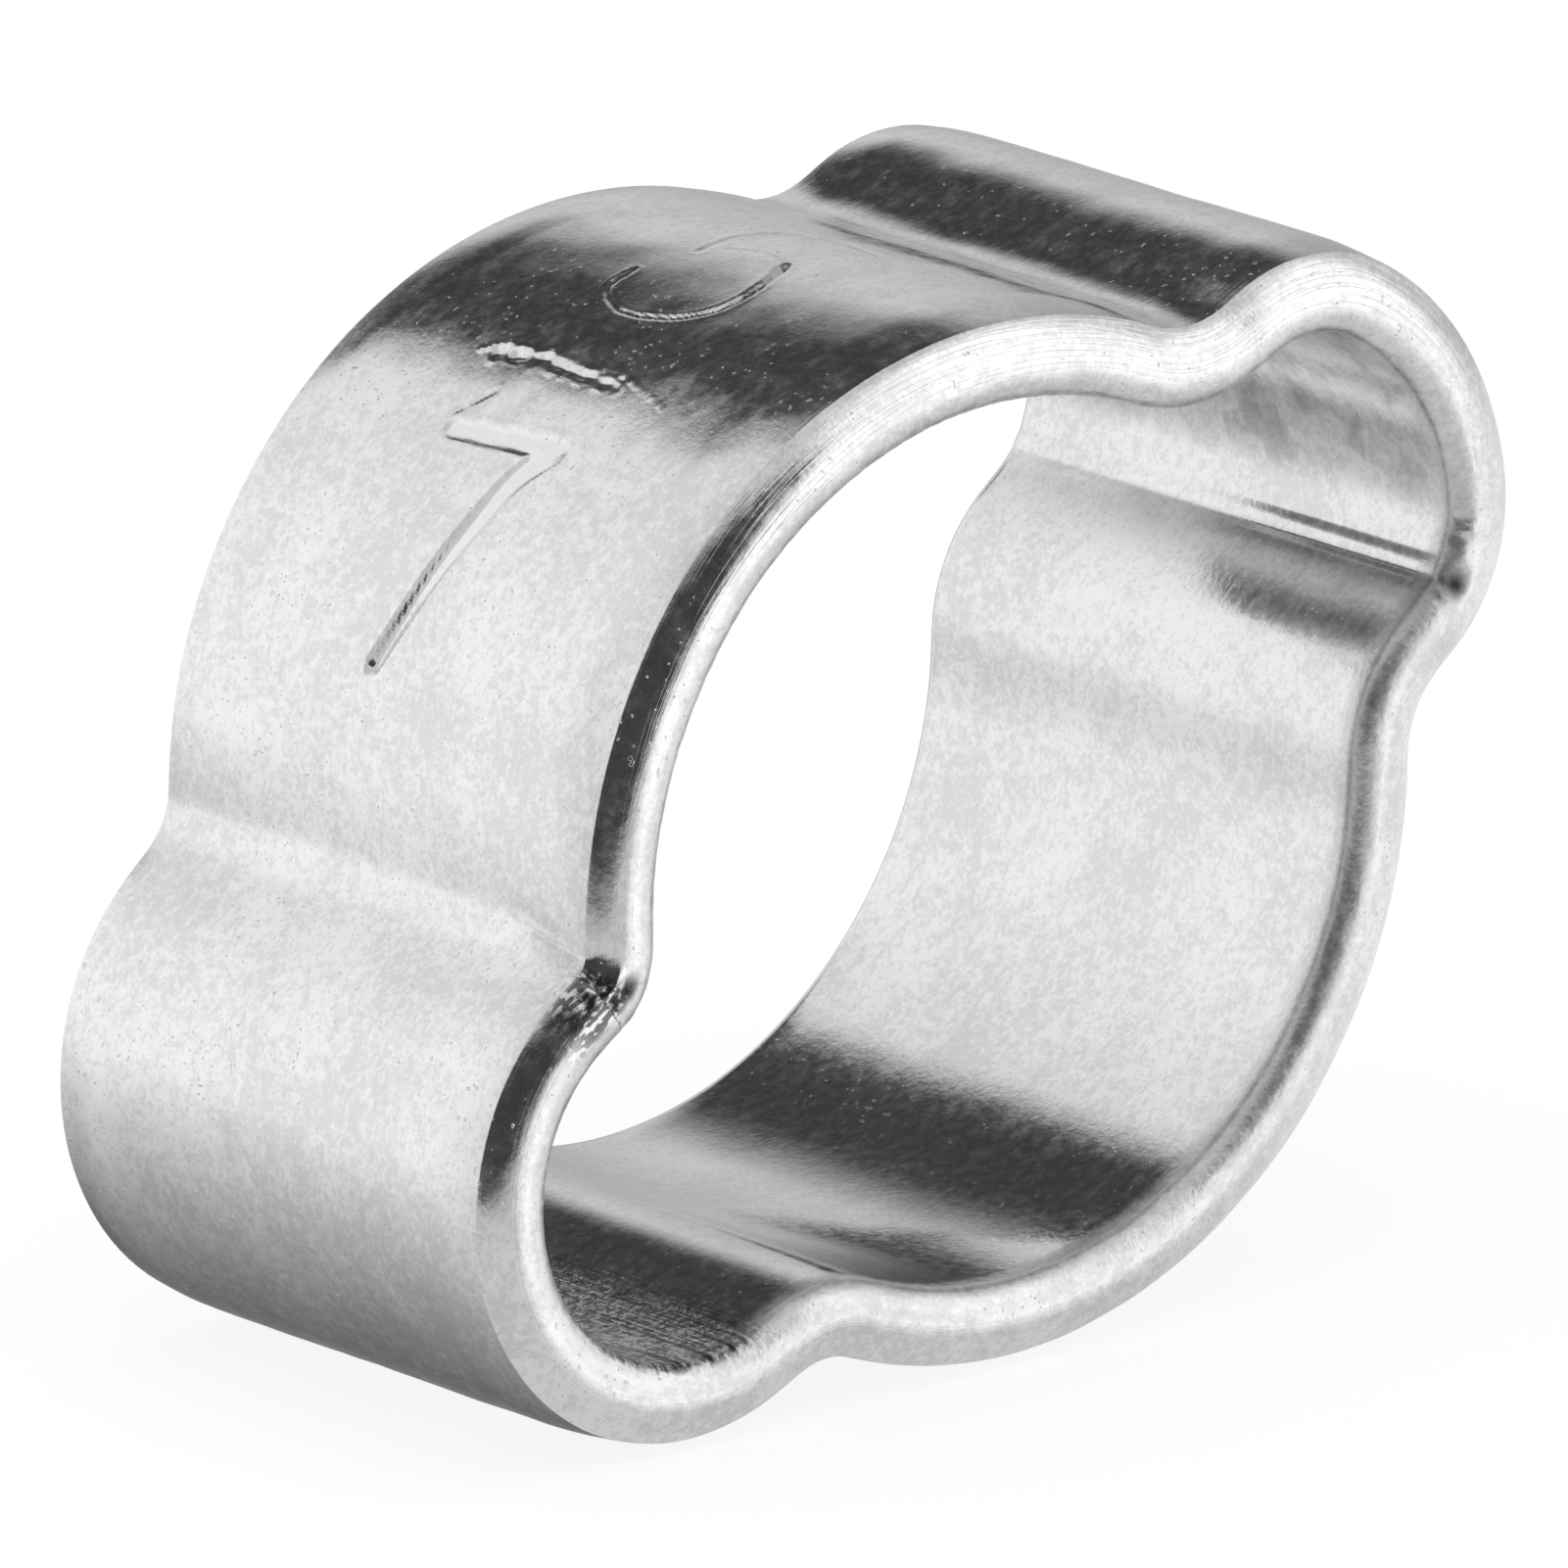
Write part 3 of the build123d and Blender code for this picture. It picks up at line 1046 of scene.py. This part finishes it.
        # Drawn-out hazy patches, which show where the plate mirrors something dark
        haze = nodes.streaks(unwrapped, *self.haze_lines, self.haze_detail)
        haze = nodes.remap(haze, *self.haze_range, 0.0, self.rough_patch)
        calmer = nodes.down_to(self.inside_calm, nodes.mask("inside"))
        rough = nodes.plus(rough, nodes.times(haze, calmer))
        rough = nodes.plus(rough, nodes.times(nodes.mask("torn"), self.rough_torn))
        nodes.join(rough, shader.inputs["Roughness"])

        terms = [
            nodes.times(grain, self.grain_depth),
            nodes.times(mottle, self.mottle_depth),
            nodes.times(specks, self.speck_depth),
            nodes.times(nodes.times(grain, nodes.mask("torn")), self.torn_depth),
            nodes.times(nodes.times(grain, nodes.mask("scored")), self.pocked_depth),
            self._streaks(nodes, unwrapped),
        ]
        height = terms[0]
        for term in terms[1:]:
            height = nodes.plus(height, term)
        bump = nodes.add("ShaderNodeBump", Strength=1.0, Distance=1.0)
        nodes.join(height, bump.inputs["Height"])
        nodes.join(bump.outputs["Normal"], shader.inputs["Normal"])
        nodes.finish(shader.outputs["BSDF"])
        return made

    def _shade(self, nodes: Nodes, place: Socket, unwrapped: Socket, tone: Socket,
               specks: Socket) -> Socket:
        """Grey of the plate: cloudy and mottled, darker at specks and in the stains, with painted
        shade in the nicks, below ear A's creases and over the bore face.

        Args:
            nodes: The material's nodes.
            place: Object coordinates.
            unwrapped: Coordinates along the band and round its section.
            tone: Sum of the noises, about 0.5.
            specks: 1 in a pit and 0 elsewhere.

        Returns:
            The grey, from 0 to 1.
        """
        shade = nodes.remap(tone, *self.tone_range, self.dull, self.pale)
        shade = nodes.times(shade, nodes.down_to(self.speck_dull, specks))
        burnished = nodes.times(nodes.mask("stamped"), self.burnish)
        shade = nodes.plus(shade, nodes.times(burnished, nodes.less(shade)))
        # Painted shade: the bore face a little darker than the outer face
        shade = nodes.times(shade, nodes.down_to(self.bore_shade, nodes.mask("inside")))
        for cover in self.covers:
            if len(cover.size) == 1:
                noise = nodes.noise(place, cover.size[0], cover.detail, cover.roughness)
            else:
                noise = nodes.streaks(unwrapped, *cover.size, cover.detail)
            darkness = nodes.remap(noise, *cover.read, *cover.darkness)
            covered = nodes.times(nodes.mask(cover.mask), darkness)
            shade = nodes.times(shade, nodes.less(covered))
        # Painted shade in the nicks
        nick_shaded = nodes.times(nodes.mask("nick_shade"), self.nick_shade_darkness)
        return nodes.times(shade, nodes.less(nick_shaded))

    def _streaks(self, nodes: Nodes, unwrapped: Socket) -> Socket:
        """Fine relief drawn out round the cut end and the folds, and lengthwise in the scores."""
        cut = nodes.streaks(unwrapped, *self.cut_lines)
        # A groove only where the noise crosses its middle value
        line = nodes.math("ABSOLUTE", nodes.math("SUBTRACT", cut, 0.5))
        groove = nodes.remap(line, 0.0, self.groove_width, -1.0, 0.0)
        on_cut = nodes.times(nodes.times(groove, self.cut_share), nodes.mask("crown"))
        drawn = nodes.times(nodes.streaks(unwrapped, *self.fold_lines), nodes.mask("fold"))
        drawn = nodes.times(drawn, nodes.down_to(self.inside_calm, nodes.mask("inside")))
        scores = nodes.times(nodes.streaks(unwrapped, *self.score_lines), nodes.mask("scored"))
        total = nodes.plus(on_cut, nodes.times(drawn, self.fold_share))
        total = nodes.plus(total, nodes.times(scores, self.score_share))
        return nodes.times(total, self.streak_depth)


@dataclass(frozen=True)
class Flag:
    """A soft-edged panel of the light tent, seen only in the metal.

    Args:
        azimuth: Middle of the panel in degrees, 0 behind the clamp and 90 to its right.
        elevation: Middle of the panel over the horizon, in degrees.
        half_width: Half its width in degrees.
        half_height: Half its height in degrees.
        edge: Share of its half size over which it fades out.
        tone: Brightness of the panel.
    """

    azimuth: float
    elevation: float
    half_width: float
    half_height: float
    edge: float
    tone: float


@dataclass
class Studio:
    """Pale floor, white surround, a soft lamp, and a light tent that shows only in the metal."""

    floor_height: float = -4.22
    floor_half: float = 900.0
    floor_grey: float = 0.30
    floor_glow: float = 0.80
    world_light: float = 0.55
    lamp_size: float = 0.30
    lamp_energy: float = 0.16
    lamp_place: tuple[float, float, float] = (-0.05, -0.04, 0.25)
    tent_radius: float = 600.0
    tent_base: float = 0.58
    wall_tone: float = 0.92
    wall_shade: float = 0.14
    wall_foot: float = 184.0
    axis_tone: float = 0.9
    fade_angle: float = 62.0
    card_tone: float = 0.62
    black_tone: float = 0.05
    flags: tuple[Flag, ...] = (
        Flag(60.0, 12.0, 16.0, 28.0, 0.9, 0.38),
        Flag(38.0, 50.0, 22.0, 13.0, 0.7, 0.05),
        Flag(-95.0, 10.0, 36.0, 50.0, 0.8, 0.58),
        Flag(140.0, 10.0, 27.0, 38.0, 0.6, 1.15),
        Flag(-153.0, 14.5, 45.5, 25.5, 0.22, 0.05),
        Flag(90.0, -20.0, 44.0, 14.0, 0.8, 0.86),
    )

    def build(self) -> None:
        """Make the world, the floor, the tent and the lamp."""
        self._world()
        floor = self._floor()
        tent = self._tent()
        self._lamp()

    def _world(self) -> None:
        """White where the camera, a reflection or glass looks, and a plain level as light."""
        world = bpy.data.worlds.new("studio")
        bpy.context.scene.world = world
        # Metal then takes the tent alone, and not a share of the world's plain light on top
        world.cycles.sampling_method = "NONE"
        nodes = Nodes(world)
        background = nodes.add("ShaderNodeBackground", Color=(1.0, 1.0, 1.0, 1.0))
        level = nodes.remap(nodes.looked_at(), 0.0, 1.0, self.world_light, 1.0)
        nodes.join(level, background.inputs["Strength"])
        nodes.finish(background.outputs[0], "ShaderNodeOutputWorld")

    def _floor(self) -> bpy.types.Object:
        """Wide pale floor that keeps a soft part of the clamp's shadow."""
        half = self.floor_half * MILLIMETRE
        height = self.floor_height * MILLIMETRE
        mesh = bpy.data.meshes.new("studio_floor")
        mesh.from_pydata(
            [(-half, -half, height), (half, -half, height), (half, half, height),
             (-half, half, height)], [], [(0, 1, 2, 3)])
        material = bpy.data.materials.new("pale_floor")
        nodes = Nodes(material)
        grey = (self.floor_grey, self.floor_grey, self.floor_grey, 1.0)
        diffuse = nodes.add("ShaderNodeBsdfDiffuse", Color=grey)
        glow = nodes.add("ShaderNodeEmission")
        nodes.join(nodes.times(nodes.looked_at(), self.floor_glow), glow.inputs["Strength"])
        total = nodes.add("ShaderNodeAddShader")
        nodes.join(diffuse.outputs[0], total.inputs[0])
        nodes.join(glow.outputs[0], total.inputs[1])
        nodes.finish(total.outputs[0])
        mesh.materials.append(material)
        floor = add_object("studio_floor", mesh)
        floor.visible_glossy = False
        return floor

    def _tent(self) -> bpy.types.Object:
        """Ball round the set whose tone is worked out for every direction.

        Behind the clamp the tone follows the angle round the bore's axis. In front it is a plain
        grey. Soft-edged flags are then laid over both, in their order.
        """
        rows, columns = 181, 360
        azimuth = np.radians(np.arange(columns))[None] * np.ones((rows, 1))
        elevation = np.radians(np.linspace(-90, 90, rows))[:, None] * np.ones((1, columns))
        direction = np.stack([
            np.sin(azimuth) * np.cos(elevation), np.cos(azimuth) * np.cos(elevation),
            np.sin(elevation)], axis=2)
        tone = self._tone(direction)
        points = direction * self.tent_radius * MILLIMETRE
        index = np.arange(rows * columns).reshape(rows, columns)
        beside = np.roll(index, -1, axis=1)
        faces = np.stack([index[:-1], index[1:], beside[1:], beside[:-1]], axis=2).reshape(-1, 4)
        mesh = bpy.data.meshes.new("light_tent")
        mesh.from_pydata(points.reshape(-1, 3).tolist(), [], faces.tolist())
        layer = mesh.attributes.new("tone", "FLOAT", "POINT")
        layer.data.foreach_set("value", tone.astype(np.float32).ravel())
        material = bpy.data.materials.new("light_tent")
        nodes = Nodes(material)
        glow = nodes.add("ShaderNodeEmission")
        nodes.join(nodes.mask("tone"), glow.inputs["Strength"])
        nodes.finish(glow.outputs[0])
        material.cycles.emission_sampling = "NONE"
        mesh.materials.append(material)
        tent = add_object("light_tent", mesh)
        tent.visible_camera = False
        tent.visible_diffuse = False
        tent.visible_shadow = False
        tent.visible_transmission = False
        return tent

    def _tone(self, direction: np.ndarray) -> np.ndarray:
        """Tone of the tent in each direction."""
        rear = self._behind(np.degrees(np.arctan2(direction[..., 2], direction[..., 0])))
        axis_angle = np.degrees(np.arccos(np.clip(direction[..., 1], -1, 1)))
        rear = self.axis_tone + (rear - self.axis_tone) * smooth_step(8.0, 34.0, axis_angle)
        tone = self.tent_base + (rear - self.tent_base) * smooth_step(66.0, 50.0, axis_angle)
        for flag in self.flags:
            tone += (flag.tone - tone) * self._cover(flag, direction)
        return tone

    def _behind(self, angle: np.ndarray) -> np.ndarray:
        """Tone behind the clamp: a white wall, a grey card and a black one, round the bore's axis.

        The wall on the left is shaded a little near its top, and below the horizon it dims by the
        same share over each degree. The grey card comes up on the right out of that dimness, and
        the black card hangs overhead, between the grey card and the wall.

        Args:
            angle: Degrees from +X over +Z.

        Returns:
            The tone at each angle.
        """
        angle = (angle + 90) % 360 - 90
        below = np.where(angle < 90, angle + 360, angle)
        wall = self.wall_tone - self.wall_shade * smooth_step(150.0, 95.0, angle)
        dimmed = self.wall_tone * np.exp((self.wall_foot - below) / self.fade_angle)
        card = dimmed + (self.card_tone - dimmed) * smooth_step(-65.0, 25.0, angle)
        black = card + (self.black_tone - card) * smooth_step(30.0, 57.0, angle)
        upper = black + (wall - black) * smooth_step(83.0, 96.0, angle)
        return np.where(angle > self.wall_foot, dimmed, upper)

    @staticmethod
    def _cover(flag: Flag, direction: np.ndarray) -> np.ndarray:
        """How much of each direction a flag covers, fading over its edge."""
        azimuth, elevation = math.radians(flag.azimuth), math.radians(flag.elevation)
        ahead = np.array([math.sin(azimuth) * math.cos(elevation),
                          math.cos(azimuth) * math.cos(elevation), math.sin(elevation)])
        side = np.array([math.cos(azimuth), -math.sin(azimuth), 0.0])
        above = np.cross(side, ahead)
        forward = direction @ ahead
        x = np.degrees(np.arctan2(direction @ side, forward)) / flag.half_width
        y = np.degrees(np.arctan2(direction @ above, forward)) / flag.half_height
        reach = (np.abs(x) ** 3 + np.abs(y) ** 3) ** (1 / 3)
        return smooth_step(1 + flag.edge / 2, 1 - flag.edge / 2, reach) * (forward > 0)

    def _lamp(self) -> None:
        """One large soft lamp overhead, which gives the floor its shadow."""
        lamp = bpy.data.lights.new("overhead_softbox", "AREA")
        lamp.shape = "SQUARE"
        lamp.size = self.lamp_size
        lamp.energy = self.lamp_energy
        overhead = add_object("overhead_softbox", lamp)
        overhead.location = self.lamp_place
        overhead.rotation_euler = (
            Vector((0.0, 0.0, 0.0)) - overhead.location).to_track_quat("-Z", "Y").to_euler()
        overhead.visible_glossy = False


@dataclass(frozen=True)
class PhotoCamera:
    """Long lens at the photograph's place: angles in radians, lengths in millimetres."""

    azimuth: float = -0.68918
    elevation: float = 0.28483
    roll: float = -0.01566
    distance: float = 252.888
    focal_pixels: float = 33153.3
    sensor: float = 36.0
    aim_right: float = -0.07264
    aim_up: float = -0.07112

    def build(self) -> bpy.types.Object:
        """Make the camera and give it to the scene."""
        sine, cosine = math.sin(self.azimuth), math.cos(self.azimuth)
        rise, level = math.sin(self.elevation), math.cos(self.elevation)
        back = Vector((sine * level, -cosine * level, rise))
        side = Vector((cosine, sine, 0.0))
        above = back.cross(side)
        right = side * math.cos(self.roll) + above * math.sin(self.roll)
        up = above * math.cos(self.roll) - side * math.sin(self.roll)
        place = back * self.distance + right * self.aim_right + up * self.aim_up
        data = bpy.data.cameras.new("photo_camera")
        data.sensor_width = self.sensor
        data.lens = self.focal_pixels * self.sensor / PHOTO_PIXELS
        data.clip_start, data.clip_end = 0.02, 5.0
        camera = add_object("photo_camera", data)
        turn = Matrix((right, up, back)).transposed().to_4x4()
        camera.matrix_world = Matrix.Translation(place * MILLIMETRE) @ turn
        bpy.context.scene.camera = camera
        return camera


def main() -> None:
    """Build the camera, the studio and the band, and note how large the result is."""
    logging.basicConfig(level=logging.INFO, format="%(name)s: %(message)s")
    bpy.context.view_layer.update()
    bpy.context.scene.view_settings.view_transform = "Standard"
    PhotoCamera().build()
    Studio().build()
    logger.info("camera and studio are in place")
    band = ClampBand().build(ZincPlate().material())
    logger.info("%s has %d faces", band.name, len(band.data.polygons))


if __name__ == "__main__":
    main()
